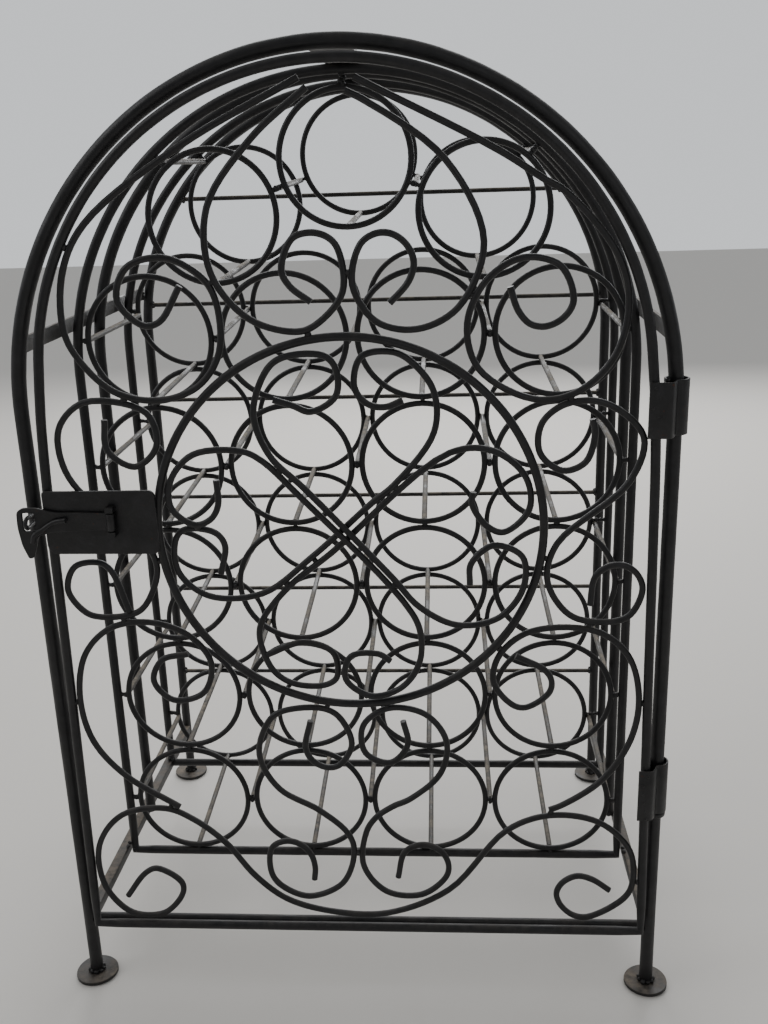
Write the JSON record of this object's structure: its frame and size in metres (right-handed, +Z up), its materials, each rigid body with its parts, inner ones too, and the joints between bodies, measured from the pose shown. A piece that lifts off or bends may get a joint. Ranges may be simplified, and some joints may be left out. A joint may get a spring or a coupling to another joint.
{
  "type": "wine rack",
  "caption": "Arched wrought-iron cage that holds bottles lying in rings, with a hinged scrollwork door and a hasp latch.",
  "frame": {"origin": "middle of the bounding box on the floor", "axes": "+X to the right as seen from the front, -Y towards the door, +Z up"},
  "size_m": [0.5056, 0.3719, 0.7438],
  "materials": {
    "black_paint": "worn satin black paint on wrought iron, with rough weld beads",
    "dusty_paint": "the same black paint under grey-brown dust"
  },
  "bodies": {
    "cage": {"front_frame": "black_paint", "front_bottom_bar": "black_paint", "front_panel_frame": "black_paint", "middle_frame": "black_paint", "rear_panel_frame": "black_paint", "rear_frame": "black_paint", "bottom_rail_left": "dusty_paint", "side_rail_left": "dusty_paint", "bottom_rail_right": "dusty_paint", "side_rail_right": "dusty_paint", "rear_panel_bar": "black_paint", "foot_front_left": "dusty_paint", "foot_front_right": "dusty_paint", "foot_rear_left": "dusty_paint", "foot_rear_right": "dusty_paint", "ridge_strap": "black_paint", "rear_cross_rod_1": "black_paint", "rear_cross_rod_2": "black_paint", "rear_cross_rod_3": "black_paint", "rear_cross_rod_4": "black_paint", "rear_cross_rod_5": "black_paint", "rear_cross_rod_6": "black_paint", "front_rings_row_1": "black_paint", "front_rings_row_2": "black_paint", "front_rings_row_3": "black_paint", "front_rings_row_4": "black_paint", "front_rings_row_5": "black_paint", "front_rings_top": "black_paint", "rear_rings_row_1": "black_paint", "rear_rings_row_2": "black_paint", "rear_rings_row_3": "black_paint", "rear_rings_row_4": "black_paint", "rear_rings_row_5": "black_paint", "rear_rings_top": "black_paint", "hinge_stop_collar": "black_paint", "hasp_staple": "black_paint"},
    "door": {"door_frame": "black_paint", "door_ring": "black_paint", "door_scroll1_L": "black_paint", "door_scroll1_R": "black_paint", "door_scroll2_L": "black_paint", "door_scroll2_R": "black_paint", "door_scroll3_L": "black_paint", "door_scroll3_R": "black_paint", "door_scroll4_L": "black_paint", "door_scroll4_R": "black_paint", "door_scroll5": "black_paint", "door_scroll6_L": "black_paint", "door_scroll6_R": "black_paint", "door_cross_rod_a": "black_paint", "door_cross_rod_b": "black_paint", "door_cross_rod_c": "black_paint", "door_cross_rod_d": "black_paint", "hinge_strap_upper": "black_paint", "hinge_strap_lower": "black_paint", "lock_plate": "black_paint", "hasp_pin": "black_paint"},
    "hasp": {"hasp": "black_paint", "hasp_pull": "black_paint"}
  },
  "joints": [
    {"name": "door_hinge", "type": "hinge", "parent": "cage", "child": "door", "pos_m": [0.2348, -0.156, 0.192], "axis": [0, 0, 1], "range_deg": [0, 110]},
    {"name": "hasp_hinge", "type": "hinge", "parent": "door", "child": "hasp", "pos_m": [-0.17, -0.1786, 0.4195], "axis": [0, 0, 1], "range_deg": [0, 150]}
  ]
}
